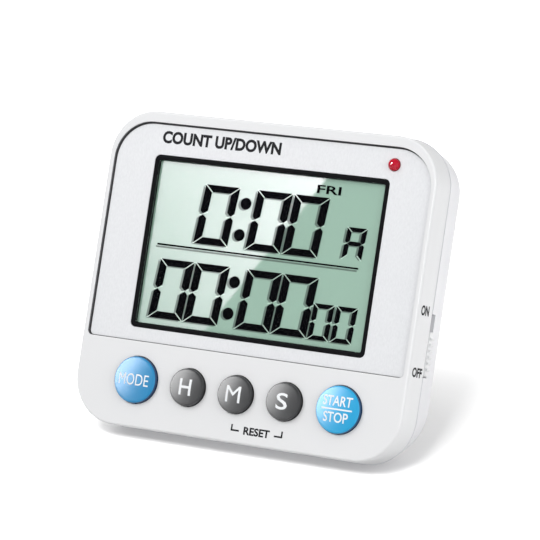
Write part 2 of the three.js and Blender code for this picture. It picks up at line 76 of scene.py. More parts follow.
CASE = Matrix.Translation(face_centre) @ Matrix.Rotation(-lean, 4, "X") @ Matrix.Scale(MM, 4)
LEG = CASE @ Matrix.Translation(HINGE_IN_CASE) @ Matrix.Rotation(leg_open, 4, "X")

# ---------------------------------------------------------------- camera

CAMERA_AZIMUTH = math.radians(27.59)
CAMERA_ELEVATION = math.radians(14.0)
CAMERA_DISTANCE = 0.7412
AIM_FROM_FACE_CENTRE = Vector((3.75, 2.56, 2.99)) * MM

camera = bpy.data.objects.new("camera", bpy.data.cameras.new("camera"))
bpy.context.scene.collection.objects.link(camera)
bpy.context.scene.camera = camera
towards_camera = Vector((
    math.sin(CAMERA_AZIMUTH) * math.cos(CAMERA_ELEVATION),
    -math.cos(CAMERA_AZIMUTH) * math.cos(CAMERA_ELEVATION),
    math.sin(CAMERA_ELEVATION),
))
camera.data.lens = 200
camera.data.sensor_width = 36
camera.location = face_centre + AIM_FROM_FACE_CENTRE + CAMERA_DISTANCE * towards_camera
camera.rotation_mode = "QUATERNION"
camera.rotation_quaternion = (-towards_camera).to_track_quat("-Z", "Y")

# ---------------------------------------------------------------- dimensions

CASE_W = 91.6
CASE_H = 80.4
CASE_CORNER_R = 12.3
PARTING_Y = 8.1
REAR_Y = 22
WALL = 1.8
FRONT_WALL_Y = 3.6
CHIN_WALL_Y = 2.4
GAP = 0.3
LOWER_CORNER_GROWTH = 2.8
DRAFT_END_Y = 17

# Sections of the two shells: (depth, how far the outline is set in)
FRONT_PROFILE = [
    (0, 0.85), (0.03, 0.7), (0.1, 0.55), (0.22, 0.42), (0.4, 0.32), (0.65, 0.26), (1, 0.22),
    (7.95, 0.03), (8.03, 0.05), (8.08, 0.07),
]
REAR_PROFILE = [
    (8.085, 0.07), (8.13, 0.02), (8.2, -0.05), (8.45, -0.07), (12.5, 0.62), (17, 1.33), (18.8, 1.94),
    (20, 2.75), (20.9, 3.75), (21.5, 4.8), (21.87, 6), (22, 7.2),
]

PLATE = {"x0": -44.2, "x1": 44.2, "z0": -18.3, "z1": 37.2, "top_r": 10, "bottom_r": 1.3}
PLATE_Y = 0.8
PLATE_CLEARANCE = {"left": 0.42, "right": 0.04, "bottom": 0.12, "top": 0.42}
DISPLAY_X = 0.1
DISPLAY_Z = 7.15
BEZEL = (65.3, 43.8, 1.3)  # width, height, corner radius
BEZEL_INSIDE = (63.3, 41.5, 0.6)
REFLECTOR_Y = 1.95

BUTTON_Z = -28
BUTTON_RISE = 1.9
BUTTONS = [  # name, x, cap radius
    ("mode", -27.95, 5.9), ("hour", -13.1, 4.7), ("minute", 0.4, 4.7), ("second", 13.9, 4.7),
    ("start_stop", 28.75, 5.9),
]
BUTTON_FLANGE_R = 0.9
CAP_SLOPE = 0.24  # of the domed top at its rim
CAP_ROUND = 0.4
CAP_ROUND_FROM = 0.9  # share of the radius where the rounded rim starts
SKIRT_SHADE = (-1.2, -0.8)  # depths between which a cap darkens, painted shade of its skirt
PRINT_LIFT = 0.02  # of all lettering off its face

LED_X = 33.3
LED_Z = 32.8
LED_R = 1.5
CASE_SCREWS = [
    ("top_left", -36.2, 27.5), ("top_right", 36.2, 27.5), ("bottom_left", -36.2, -21),
    ("bottom_right", 36.2, -21),
]
FRONT_BOSS_R = 2.7
REAR_BOSS_R = 3.6
SCREW_HOLE_R = 1.4
SCREW_WELL_R = 2.8

SLOT = (-17.3, -1.7)  # bottom and top of the switch slot
SLOT_BACK_Y = 11
KNOB = (-17, -6)  # bottom and top of the knob at rest
KNOB_RIDGES = 6

CELL_Y = 15.3
CELLS = {"upper": (28.8, 1), "lower": (17.6, -1)}  # height, and side of the positive end
BAY = {"half_w": 26.2, "z0": 12.2, "z1": 34.2, "floor_y": 9.8}
DOOR_LEDGE = 1.2
DOOR_SEAT_Y = 20.6
RECESS_HALF_W = 11
LEG_HALF_W = 10.5
HINGE_BARREL_R = 1.9
HINGE_HOLE_R = 1.1
MAGNET_X = 24
MAGNET_Z = -20
MAGNET_SEAT_R = 6.3
MAGNET_BOSS_R = 7.5
BUZZER_X = -26
BUZZER_Z = -1.5
SOUND_HOLE_R = 0.8
SOUND_RING_R = 3.4

# ---------------------------------------------------------------- mesh helpers


def rounded_outline(x0, x1, z0, z1, top_r, bottom_r, steps=14):
    """Points of a rectangle with round corners, anticlockwise from the front."""
    corners = [
        (x1 - top_r, z1 - top_r, top_r), (x0 + top_r, z1 - top_r, top_r),
        (x0 + bottom_r, z0 + bottom_r, bottom_r), (x1 - bottom_r, z0 + bottom_r, bottom_r),
    ]
    points = []
    for quarter, (x, z, r) in enumerate(corners):
        for i in range(steps + 1):
            angle = (quarter + i / steps) * math.pi / 2
            points.append((x + r * math.cos(angle), z + r * math.sin(angle)))
    return points


def case_outline(inset, lower_growth=0.0):
    """Outline of the case set in by that much, with lower corners that may be rounder."""
    half_w = CASE_W / 2 - inset
    half_h = CASE_H / 2 - inset
    r = max(CASE_CORNER_R - inset, 1)
    return rounded_outline(-half_w, half_w, -half_h, half_h, r, r + lower_growth, 18)


def rear_section(y, inset):
    """Section of the rear shell, whose lower corners get rounder up to the end of the draft."""
    share = min(max((y - PARTING_Y) / (DRAFT_END_Y - PARTING_Y), 0), 1)
    return y, case_outline(inset, LOWER_CORNER_GROWTH * share)


def pocket_outline(grow):
    """Outline of the pocket that the face plate sits in."""
    return rounded_outline(
        PLATE["x0"] - grow, PLATE["x1"] + grow, PLATE["z0"] - grow, PLATE["z1"] + grow,
        PLATE["top_r"] + grow, PLATE["bottom_r"] + grow,
    )


def plate_outline(inset):
    """Outline of the face plate, which leaves a seam of uneven width in its pocket."""
    return rounded_outline(
        PLATE["x0"] + PLATE_CLEARANCE["left"] + inset, PLATE["x1"] - PLATE_CLEARANCE["right"] - inset,
        PLATE["z0"] + PLATE_CLEARANCE["bottom"] + inset, PLATE["z1"] - PLATE_CLEARANCE["top"] - inset,
        PLATE["top_r"] - 0.3 - inset, PLATE["bottom_r"] - 0.1 - inset,
    )


def display_outline(size, grow=0.0):
    """Outline round the display, of a (width, height, corner radius) grown on every side."""
    w, h, r = size
    half_w = w / 2 + grow
    half_h = h / 2 + grow
    r = max(r + grow, 0.2)
    return rounded_outline(
        DISPLAY_X - half_w, DISPLAY_X + half_w, DISPLAY_Z - half_h, DISPLAY_Z + half_h, r, r, 8,
    )


def make_mesh(vertices, faces):
    mesh = bpy.data.meshes.new("shape")
    mesh.from_pydata(vertices, [], faces)
    mesh.update()
    return mesh


def loft(sections):
    """Closed solid through matching outlines: (y, outline) pairs from the front to the back."""
    count = len(sections[0][1])
    vertices = [(x, y, z) for y, outline in sections for x, z in outline]
    faces = [tuple(range(count))]
    for s in range(len(sections) - 1):
        for i in range(count):
            a = s * count + i
            b = s * count + (i + 1) % count
            faces.append((a, a + count, b + count, b))
    last = (len(sections) - 1) * count
    faces.append(tuple(last + i for i in reversed(range(count))))
    return make_mesh(vertices, faces)


def lathe(profile, x, z, sides=48):
    """Turned solid about an axis along the depth: (radius, y) pairs from front to back."""
    rings = [
        (y, [(x + r * math.cos(2 * math.pi * i / sides), z + r * math.sin(2 * math.pi * i / sides))
             for i in range(sides)])
        for r, y in profile if r > 0
    ]
    return loft(rings)


def bar(r, y0, y1, x, z, sides=40):
    """Round bar along the depth."""
    return lathe([(r, y0), (r, y1)], x, z, sides)


def block(x0, x1, y0, y1, z0, z1):
    return loft([(y, [(x0, z0), (x1, z0), (x1, z1), (x0, z1)]) for y in (y0, y1)])


def smooth_profile(points):
    """Catmull-Rom curve through (y, inset) points."""
    steps = 4
    padded = [points[0], *points, points[-1]]
    curve = []
    for p0, p1, p2, p3 in zip(padded, padded[1:], padded[2:], padded[3:]):
        for i in range(steps):
            t = i / steps
            curve.append(tuple(
                0.5 * (2 * b + (c - a) * t + (2 * a - 5 * b + 4 * c - d) * t**2
                       + (3 * b - a - 3 * c + d) * t**3)
                for a, b, c, d in zip(p0, p1, p2, p3)
            ))
    curve.append(points[-1])
    return curve


def flared(outline_at, y_face, fillet, y_end, into=1):
    """Cutter for a hole or pocket whose mouth, at y_face, has a small round edge.

    outline_at(grow) gives the outline grown by that much. into is 1 where the hole runs towards +y.
    """
    arc_steps = 6
    arc = []
    for i in range(arc_steps + 1):
        angle = i / arc_steps * math.pi / 2
        along = fillet * math.sin(angle)
        grow = fillet * (1 - math.sqrt(max(0.0, 1 - (1 - along / fillet) ** 2)))
        arc.append((y_face + into * along, outline_at(grow)))
    sections = [(y_face - into, arc[0][1])] + arc + [(y_end, outline_at(0))]
    if into < 0:
        sections.reverse()
    return loft(sections)


def circle_at(x, z, r, sides=48):
    """A function that gives this circle, grown by a given amount."""
    turns = [2 * math.pi * i / sides for i in range(sides)]

    def outline(grow):
        return [(x + (r + grow) * math.cos(turn), z + (r + grow) * math.sin(turn)) for turn in turns]

    return outline


def carve(mesh, steps):
    """Applies (operation, mesh) steps, where operation is UNION, DIFFERENCE or INTERSECT."""
    target = bpy.data.objects.new("carved", mesh)
    bpy.context.scene.collection.objects.link(target)
    tools = []
    for operation, tool_mesh in steps:
        tool = bpy.data.objects.new("tool", tool_mesh)
        bpy.context.scene.collection.objects.link(tool)
        tools.append(tool)
        modifier = target.modifiers.new("cut", "BOOLEAN")
        modifier.operation = operation
        modifier.object = tool
        modifier.solver = "MANIFOLD"
    graph = bpy.context.evaluated_depsgraph_get()
    result = bpy.data.meshes.new_from_object(target.evaluated_get(graph))
    for temporary in [target, *tools]:
        bpy.data.objects.remove(temporary)
    return result


def bevel(obj, width):
    """Rounds a piece's sharp edges."""
    modifier = obj.modifiers.new("edges", "BEVEL")
    modifier.width = width * MM
    modifier.segments = 2
    modifier.limit_method = "ANGLE"
    modifier.angle_limit = math.radians(40)
    modifier.use_clamp_overlap = True


def piece(name, mesh, material, body, stands_for=(), to_row=CASE):
    """Puts a mesh drawn in millimetres into the row frame, as a piece riding on a body."""
    mesh.transform(to_row)
    mesh.name = name
    mesh.materials.clear()
    mesh.materials.append(material)
    mesh.polygons.foreach_set("use_smooth", [True] * len(mesh.polygons))
    mesh.set_sharp_from_angle(angle=math.radians(38))
    obj = bpy.data.objects.new(name, mesh)
    bpy.context.scene.collection.objects.link(obj)
    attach(obj, body)
    if stands_for:
        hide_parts(*stands_for)
    return obj


def flat_normals(obj):
    """Keeps large flat faces evenly shaded up to their rounded edges."""
    modifier = obj.modifiers.new("flat faces stay flat", "WEIGHTED_NORMAL")
    modifier.keep_sharp = True
    modifier.weight = 100
    return obj


# ---------------------------------------------------------------- materials


def new_material(name):
    material = bpy.data.materials.new(name)
    material.use_nodes = True
    tree = material.node_tree
    return material, tree, tree.nodes["Principled BSDF"]


def noise(tree, scale, detail=2.0, stretch=(1, 1, 1)):
    """Noise fixed to the object, at so many grains per metre."""
    coordinates = tree.nodes.new("ShaderNodeTexCoord")
    mapping = tree.nodes.new("ShaderNodeMapping")
    mapping.inputs["Scale"].default_value = stretch
    texture = tree.nodes.new("ShaderNodeTexNoise")
    texture.inputs["Scale"].default_value = scale
    texture.inputs["Detail"].default_value = detail
    tree.links.new(coordinates.outputs["Object"], mapping.inputs["Vector"])
    tree.links.new(mapping.outputs["Vector"], texture.inputs["Vector"])
    return texture.outputs["Fac"]


def vary_colour(tree, bsdf, fac, dark, light):
    """Colour between two tones, as the factor says."""
    ramp = tree.nodes.new("ShaderNodeValToRGB")
    ramp.color_ramp.elements[0].position = 0.3
    ramp.color_ramp.elements[1].position = 0.7
    ramp.color_ramp.elements[0].color = (*dark, 1)
    ramp.color_ramp.elements[1].color = (*light, 1)
    tree.links.new(fac, ramp.inputs["Fac"])
    tree.links.new(ramp.outputs["Color"], bsdf.inputs["Base Color"])


def vary_roughness(tree, bsdf, fac, low, high):
    """Roughness between two values, as the factor says."""
    spread = tree.nodes.new("ShaderNodeMapRange")
    spread.inputs["From Min"].default_value = 0.3
    spread.inputs["From Max"].default_value = 0.7
    spread.inputs["To Min"].default_value = low
    spread.inputs["To Max"].default_value = high
    tree.links.new(fac, spread.inputs["Value"])
    tree.links.new(spread.outputs["Result"], bsdf.inputs["Roughness"])


def raise_bumps(tree, bsdf, fac, height_mm, strength=1.0):
    """Bumps of that height, as the factor says."""
    bump = tree.nodes.new("ShaderNodeBump")
    bump.inputs["Strength"].default_value = strength
    bump.inputs["Distance"].default_value = height_mm * MM
    tree.links.new(fac, bump.inputs["Height"])
    tree.links.new(bump.outputs["Normal"], bsdf.inputs["Normal"])


def surface(name, colour, roughness, spread=0.04, tint=0.03, bump_mm=0.002, metallic=0.0, coat=0.0,
            specular=0.5):
    """Moulded or finished surface: a slight change of tone, a fine grain and uneven gloss."""
    material, tree, bsdf = new_material(name)
    bsdf.inputs["Metallic"].default_value = metallic
    bsdf.inputs["Coat Weight"].default_value = coat
    bsdf.inputs["Coat Roughness"].default_value = 0.08
    bsdf.inputs["Specular IOR Level"].default_value = specular
    dark = tuple(c * (1 - tint) for c in colour)
    light = tuple(min(1, c * (1 + tint)) for c in colour)
    vary_colour(tree, bsdf, noise(tree, 60, 3), dark, light)
    vary_roughness(tree, bsdf, noise(tree, 140, 3), roughness - spread, roughness + spread)
    raise_bumps(tree, bsdf, noise(tree, 2700, 2), bump_mm)
    return material


WHITE_PLASTIC = surface(
    "white_plastic", (0.79, 0.795, 0.805), 0.32, spread=0.015, tint=0.006, bump_mm=0.0008, specular=0.4)
# The same white plastic, painted darker and cooler as shade on the rear shell, the door and the leg.
REAR_SHADED_WHITE = surface(
    "rear_shaded_white", (0.745, 0.745, 0.772), 0.34, spread=0.015, tint=0.006, bump_mm=0.0008, specular=0.4)
BLACK_FRAME = surface("black_frame", (0.007, 0.007, 0.008), 0.4, tint=0.1, bump_mm=0.001, specular=0.03)
WHITE_PRINT = surface("white_print", (0.86, 0.88, 0.9), 0.45, tint=0.01, bump_mm=0.0008)
DARK_PRINT = surface("dark_print", (0.02, 0.02, 0.023), 0.6, tint=0.1, bump_mm=0.0008, specular=0.1)
# Dark grey painted as the shade inside the seam round the face plate.
SEAM_SHADE_GREY = surface("seam_shade_grey", (0.13, 0.13, 0.135), 0.6, tint=0.1, specular=0.1)
LCD_BLACK = surface("lcd_black", (0.002, 0.002, 0.003), 0.8, tint=0.1, bump_mm=0.0005, specular=0.0)
HOLDER_WHITE = surface("holder_white", (0.78, 0.78, 0.75), 0.5)
RUBBER_BLACK = surface("rubber_black", (0.015, 0.015, 0.016), 0.7, tint=0.15)
SILICONE = surface("silicone", (0.62, 0.61, 0.58), 0.55, tint=0.04)
EPOXY_BLACK = surface("epoxy_black", (0.01, 0.01, 0.011), 0.3, tint=0.2, coat=0.3)
SLEEVE_BLUE = surface("sleeve_blue", (0.02, 0.04, 0.14), 0.35, tint=0.08)
STEEL = surface("steel", (0.56, 0.57, 0.58), 0.3, tint=0.06, metallic=1, spread=0.08, bump_mm=0.003)
NICKEL = surface("nickel", (0.63, 0.62, 0.6), 0.18, tint=0.04, metallic=1, spread=0.05)
BRASS = surface("brass", (0.7, 0.5, 0.22), 0.3, tint=0.08, metallic=1, spread=0.08)
CELL_SKIN = surface("cell_skin", (0.3, 0.36, 0.42), 0.3, tint=0.05, metallic=0.6)
WIRE_RED = surface("wire_red", (0.45, 0.02, 0.03), 0.4)
WIRE_BLACK = surface("wire_black", (0.015, 0.015, 0.015), 0.4)
LAMP_RED = surface("lamp_red", (0.5, 0.0015, 0.022), 0.12, tint=0.06, bump_mm=0.0003, specular=0.2)


def pearl_plate():
    """Pearl-white plate: fine flakes that change its tone and catch the light."""
    material, tree, bsdf = new_material("pearl_plate")
    bsdf.inputs["Metallic"].default_value = 0.08
    bsdf.inputs["Specular IOR Level"].default_value = 0.5
    flakes = noise(tree, 2600, 4, (1, 1, 0.35))
    vary_colour(tree, bsdf, flakes, (0.735, 0.745, 0.765), (0.785, 0.795, 0.815))
    vary_roughness(tree, bsdf, noise(tree, 500, 3), 0.36, 0.46)
    raise_bumps(tree, bsdf, flakes, 0.012, 0.7)
    return material


def cap_plastic(name, colour, skirt_shade_colour, roughness, coat_roughness):
    """Satin cap under a clear coat, with painted shade that makes its straight skirt darker than its domed
    top.
    """
    material, tree, bsdf = new_material(name)
    bsdf.inputs["Specular IOR Level"].default_value = 0.1
    bsdf.inputs["Coat Weight"].default_value = 1
    bsdf.inputs["Coat IOR"].default_value = 1.35
    bsdf.inputs["Coat Roughness"].default_value = coat_roughness
    coordinates = tree.nodes.new("ShaderNodeTexCoord")
    depth = tree.nodes.new("ShaderNodeVectorMath")
    depth.operation = "DOT_PRODUCT"
    depth.inputs[1].default_value = depth_axis
    # Painted shade: the colour darkens with depth down the skirt.
    skirt = tree.nodes.new("ShaderNodeMapRange")
    front_of_case = face_centre.dot(depth_axis)
    skirt.inputs["From Min"].default_value = front_of_case + SKIRT_SHADE[0] * MM
    skirt.inputs["From Max"].default_value = front_of_case + SKIRT_SHADE[1] * MM
    tree.links.new(coordinates.outputs["Object"], depth.inputs[0])
    tree.links.new(depth.outputs["Value"], skirt.inputs["Value"])
    vary_colour(tree, bsdf, skirt.outputs["Result"], colour, skirt_shade_colour)
    vary_roughness(tree, bsdf, noise(tree, 300, 3), roughness - 0.03, roughness + 0.03)
    raise_bumps(tree, bsdf, noise(tree, 5000, 2), 0.0015)
    return material


def circuit_board_green():
    """Solder mask over glass cloth, mottled by the traces under it."""
    material, tree, bsdf = new_material("circuit_board_green")
    vary_colour(tree, bsdf, noise(tree, 350, 5), (0.01, 0.09, 0.035), (0.03, 0.17, 0.06))
    vary_roughness(tree, bsdf, noise(tree, 200, 2), 0.3, 0.42)
    raise_bumps(tree, bsdf, noise(tree, 900, 2), 0.01)
    return material


def lcd_sheet(name, dark, light, polish=1.0):
    """A tone under the polished front sheet of the liquid crystal panel, also used for painted shadow and
    painted light on the panel.
    """
    material, tree, bsdf = new_material(name)
    bsdf.inputs["Specular IOR Level"].default_value = 0
    bsdf.inputs["Coat Weight"].default_value = polish
    bsdf.inputs["Coat IOR"].default_value = 1.6
    bsdf.inputs["Coat Roughness"].default_value = 0.02
    vary_colour(tree, bsdf, noise(tree, 3000, 2), dark, light)
    vary_roughness(tree, bsdf, noise(tree, 900, 2), 0.55, 0.65)
    raise_bumps(tree, bsdf, noise(tree, 3000, 2), 0.0005, 0.3)
    return material


def clear_window():
    """Clear plastic: lets the display show, and reflects what stands in front of it."""
    material = bpy.data.materials.new("clear_window")
    material.use_nodes = True
    tree = material.node_tree
    tree.nodes.clear()
    output = tree.nodes.new("ShaderNodeOutputMaterial")
    mix = tree.nodes.new("ShaderNodeMixShader")
    fresnel = tree.nodes.new("ShaderNodeFresnel")
    fresnel.inputs["IOR"].default_value = 1.12
    through = tree.nodes.new("ShaderNodeBsdfTransparent")
    through.inputs["Color"].default_value = (0.985, 0.995, 0.99, 1)
    gloss = tree.nodes.new("ShaderNodeBsdfGlossy")
    gloss.inputs["Roughness"].default_value = 0.02
    tree.links.new(fresnel.outputs["Fac"], mix.inputs["Fac"])
    tree.links.new(through.outputs["BSDF"], mix.inputs[1])
    tree.links.new(gloss.outputs["BSDF"], mix.inputs[2])
    tree.links.new(mix.outputs["Shader"], output.inputs["Surface"])
    return material


PEARL = pearl_plate()
BOARD = circuit_board_green()
REFLECTOR = lcd_sheet("lcd_reflector", (0.357, 0.53, 0.435), (0.38, 0.553, 0.458))
# Painted shadow of the digits and the rule on the reflector.
LCD_SHADE = lcd_sheet("lcd_shade", (0.15, 0.21, 0.18), (0.17, 0.23, 0.2), 0.3)
# Painted light: lines between segments, lighter than the reflector itself.
LCD_GAP = lcd_sheet("lcd_gap", (0.66, 0.85, 0.74), (0.69, 0.88, 0.77))
# The second colour of each cap is the painted shade of its skirt.
BLUE_CAP = cap_plastic("blue_cap", (0.005, 0.22, 0.47), (0.002, 0.03, 0.1), 0.35, 0.36)
SKY_CAP = cap_plastic("sky_cap", (0.005, 0.35, 0.66), (0.002, 0.05, 0.14), 0.35, 0.36)
GREY_CAP = cap_plastic("grey_cap", (0.022, 0.023, 0.025), (0.004, 0.004, 0.005), 0.4, 0.42)
CLEAR = clear_window()

# ---------------------------------------------------------------- front shell


def hollow(inset, y0, y1):
    """Straight-sided filling of the case between two depths."""
    return loft([(y0, case_outline(inset)), (y1, case_outline(inset))])


def button_hole(x, r):
    """Cutter for the hole of a cap of that radius, with a little clearance."""
    return flared(circle_at(x, BUTTON_Z, r + 0.16, 64), 0, 0.12, 4)


front = loft([(y, case_outline(inset)) for y, inset in FRONT_PROFILE])
chin = carve(hollow(WALL, CHIN_WALL_Y, 4), [("INTERSECT", block(-50, 50, 0, 10, -50, PLATE["z0"] - 1))])
steps = [
    ("DIFFERENCE", hollow(WALL, FRONT_WALL_Y, PARTING_Y + 1)),
    ("DIFFERENCE", chin),
    ("DIFFERENCE", flared(pocket_outline, 0, 0.12, 1.8)),
]
for _, x, z in CASE_SCREWS:
    steps.append(("UNION", bar(FRONT_BOSS_R, 2, 8.6, x, z, 24)))
    steps.append(("DIFFERENCE", bar(SCREW_HOLE_R, 4.2, 9, x, z, 20)))
steps.append(("DIFFERENCE", loft([(y, display_outline(BEZEL, GAP)) for y in (0, 5)])))
steps += [("DIFFERENCE", button_hole(x, r)) for _, x, r in BUTTONS]
steps.append(("DIFFERENCE", bar(LED_R + GAP, 0, 5, LED_X, LED_Z, 32)))
front_case = piece("front_case", carve(front, steps), WHITE_PLASTIC, "case", ["front_shell"])
flat_normals(front_case)

# ---------------------------------------------------------------- face plate and display

plate_edge = [(PLATE_Y, 0.12), (PLATE_Y + 0.04, 0.04), (PLATE_Y + 0.12, 0), (1.5, 0)]
plate = carve(
    loft([(y, plate_outline(inset)) for y, inset in plate_edge]),
    [
        ("DIFFERENCE", flared(lambda grow: display_outline(BEZEL, 0.08 + grow), PLATE_Y, 0.1, 5)),
        ("DIFFERENCE", flared(circle_at(LED_X, LED_Z, LED_R + 0.12, 32), PLATE_Y, 0.1, 5)),
    ],
)
flat_normals(piece("pearl_face_plate", plate, PEARL, "case", ["face_plate"]))


def ring_between(outer, inner, profile):
    """Closed frame whose profile is (y, share of the way from the outer outline to the inner)."""
    count = len(outer)
    vertices = []
    for y, share in profile:
        for (xo, zo), (xi, zi) in zip(outer, inner):
            vertices.append((xo + share * (xi - xo), y, zo + share * (zi - zo)))
    faces = []
    rows = len(profile)
    for row in range(rows):
        a = row * count
        b = (row + 1) % rows * count
        for i in range(count):
            j = (i + 1) % count
            faces.append((a + i, a + j, b + j, b + i))
    return make_mesh(vertices, faces)


# A dark ring at the bottom of the seam round the plate: painted shade, where the seam is only in shadow.
seam_profile = [(1.78, 0), (0.3, 0), (0.3, 0.015), (1.62, 0.015), (1.62, 1), (1.78, 1)]
seam = ring_between(pocket_outline(-0.01), pocket_outline(-2), seam_profile)
piece("seam_painted_shade", seam, SEAM_SHADE_GREY, "case")

frame_profile = [
    (3.5, 0), (0.85, 0), (0.66, 0.06), (0.55, 0.18), (0.5, 0.34), (0.5, 0.66), (0.55, 0.82), (0.66, 0.94),
    (0.85, 1), (3.5, 1),
]
window_frame = ring_between(display_outline(BEZEL), display_outline(BEZEL_INSIDE), frame_profile)
piece("window_frame", window_frame, BLACK_FRAME, "case", ["window_bezel"])

pane = display_outline((BEZEL_INSIDE[0] - 0.1, BEZEL_INSIDE[1] - 0.1, 0.55))
pane_inner = display_outline((BEZEL_INSIDE[0] - 0.3, BEZEL_INSIDE[1] - 0.3, 0.45))
window = loft([(0.95, pane_inner), (1.05, pane), (1.5, pane)])
piece("clear_pane", window, CLEAR, "case", ["display_window"])
glass = loft([(REFLECTOR_Y, pane_inner), (REFLECTOR_Y + 0.1, pane), (3.5, pane)])
lcd_sheets = [piece("lcd_panel", glass, REFLECTOR, "case", ["lcd_glass"])]

SEGMENT_GAP = 0.13


def segments(x, z, w, h, bar_x, bar_z, slant, lit):
    """Lit segments of a slanted seven-segment digit, whose lower left corner is (x, z)."""
    gap = SEGMENT_GAP
    middle = h / 2
    tip = bar_x * 0.42
    upper_left = [
        (0, h - 1.3 * gap), (bar_x, h - bar_z - 1.3 * gap), (bar_x, middle + 0.55 * bar_z),
        (tip, middle + 0.4 * gap), (0, middle + 0.5 * bar_z),
    ]
    start = bar_x + gap
    shapes = {
        "top": [(gap, h), (w - gap, h), (w - start, h - bar_z), (start, h - bar_z)],
        "middle": [
            (tip + gap, middle), (start, middle + bar_z / 2), (w - start, middle + bar_z / 2),
            (w - tip - gap, middle), (w - start, middle - bar_z / 2), (start, middle - bar_z / 2),
        ],
        "upper_left": upper_left,
        "upper_right": [(w - a, b) for a, b in upper_left],
    }
    for upper, lower in (("top", "bottom"), ("upper_left", "lower_right"), ("upper_right", "lower_left")):
        shapes[lower] = [(w - a, h - b) for a, b in shapes[upper]]
    return [[(x + a + slant * b / h, z + b) for a, b in shapes[name]] for name in lit]


def corner_gaps(x, z, w, h, bar_x, bar_z, slant):
    """Bright lines between the segments at a digit's corners and waist, painted lighter than the reflector
    and drawn over the painted digit shadow.
    """
    half = SEGMENT_GAP * 0.75
    middle = h / 2
    lines = [
        ((0, h), (bar_x, h - bar_z)), ((w, h), (w - bar_x, h - bar_z)),
        ((0, 0), (bar_x, bar_z)), ((w, 0), (w - bar_x, bar_z)),
        ((0, middle - 0.2 * bar_z), (bar_x, middle + 0.3 * bar_z)),
        ((w - bar_x, middle - 0.2 * bar_z), (w, middle + 0.3 * bar_z)),
    ]
    quads = []
    for (a0, b0), (a1, b1) in lines:
        along = Vector((a1 - a0, b1 - b0)).normalized()
        side = Vector((-along.y, along.x)) * half
        ends = [Vector((a0, b0)) - along * 0.1, Vector((a1, b1)) + along * 0.15]
        corners = [ends[0] - side, ends[1] - side, ends[1] + side, ends[0] + side]
        quads.append([(x + c.x + slant * c.y / h, z + c.y) for c in corners])
    return quads


ZERO = ("top", "bottom", "upper_left", "upper_right", "lower_left", "lower_right")
LETTER_A = ("top", "middle", "upper_left", "upper_right", "lower_left", "lower_right")
DIGIT = {"w": 9.65, "h": 15.05, "bar_x": 2.1, "bar_z": 1.75, "slant": 1.3}
SMALL = {"w": 5.65, "h": 8.95, "bar_x": 1.3, "bar_z": 1.1, "slant": 0.62}
LETTER = {"w": 5.35, "h": 7.95, "bar_x": 1.25, "bar_z": 1.05, "slant": 0.6}

ROW_TOP_Z = 8
ROW_BOTTOM_Z = -11.85
CHARACTERS = [(x, ROW_TOP_Z, ZERO, DIGIT) for x in (-18.95, -4.2, 6.1)]
CHARACTERS += [(x, ROW_BOTTOM_Z, ZERO, DIGIT) for x in (-28.6, -18.5, -3.85, 6.25)]
CHARACTERS += [(x, ROW_BOTTOM_Z - 0.1, ZERO, SMALL) for x in (16.3, 22.6)]
CHARACTERS.append((22.35, 8.6, LETTER_A, LETTER))
lit_shapes = []
gap_shapes = []
for x, z, lit, size in CHARACTERS:
    lit_shapes += segments(x, z, lit=lit, **size)
    gap_shapes += corner_gaps(x, z, **size)

COLON_R = 1.5
COLON_DOTS = ((-5.8, 19.3), (-6.35, 11.35), (-5.7, -0.45), (-6.2, -8.4))
lit_shapes += [circle_at(x, z, COLON_R, 32)(0) for x, z in COLON_DOTS]
RULE = [(-29, 6.5), (27.3, 6.45), (27.3, 6.85), (-29, 6.95)]


def flat_sheet(shapes, y, shift=(0, 0), thick=0.02):
    """Thin raised shapes in a plane facing the front."""
    vertices = []
    faces = []
    for shape in shapes:
        area = sum(a[0] * b[1] - b[0] * a[1] for a, b in zip(shape, shape[1:] + shape[:1]))
        if area < 0:
            shape = list(reversed(shape))
        start = len(vertices)
        n = len(shape)
        for depth in (y - thick, y):
            vertices += [(a + shift[0], depth, b + shift[1]) for a, b in shape]
        faces.append(tuple(range(start, start + n)))
        faces.append(tuple(reversed(range(start + n, start + 2 * n))))
        for i in range(n):
            j = (i + 1) % n
            faces.append((start + i, start + n + i, start + n + j, start + j))
    return make_mesh(vertices, faces)


# The digits' and the rule's shadows on the reflector are painted: dark sheets just behind them, shifted to
# the lower left.
SHADE_SHIFT = (-0.62, -0.28)
SHADE_Y = REFLECTOR_Y - 0.02
GAP_Y = REFLECTOR_Y - 0.05
DIGIT_Y = REFLECTOR_Y - 0.08

piece("lcd_digits", flat_sheet([*lit_shapes, RULE], DIGIT_Y), LCD_BLACK, "case")
for name, mesh, material in (
    ("lcd_digit_shade", flat_sheet(lit_shapes, SHADE_Y, SHADE_SHIFT), LCD_SHADE),
    ("lcd_rule_shade", flat_sheet([RULE], SHADE_Y, (-0.35, -0.62)), LCD_SHADE),
    ("lcd_digit_gaps", flat_sheet(gap_shapes, GAP_Y, thick=0.01), LCD_GAP),
):
    lcd_sheets.append(piece(name, mesh, material, "case"))

# ---------------------------------------------------------------- markings


def text_mesh(words, height, width, weight):
    """Lettering of that height and width as a flat mesh in x and y, centred on the origin."""
    curve = bpy.data.curves.new("words", "FONT")
    curve.body = words
    curve.size = 10
    curve.offset = weight
    curve.resolution_u = 4
    holder = bpy.data.objects.new("words", curve)
    bpy.context.scene.collection.objects.link(holder)
    graph = bpy.context.evaluated_depsgraph_get()
    mesh = bpy.data.meshes.new_from_object(holder.evaluated_get(graph))
    bpy.data.objects.remove(holder)
    xs = [v.co.x for v in mesh.vertices]
    ys = [v.co.y for v in mesh.vertices]
    scale_y = height / (max(ys) - min(ys))
    scale_x = width / (max(xs) - min(xs))
    middle = Vector(((max(xs) + min(xs)) / 2, (max(ys) + min(ys)) / 2, 0))
    for vertex in mesh.vertices:
        at = vertex.co - middle
        vertex.co = Vector((at.x * scale_x, at.y * scale_y, 0))
    return mesh


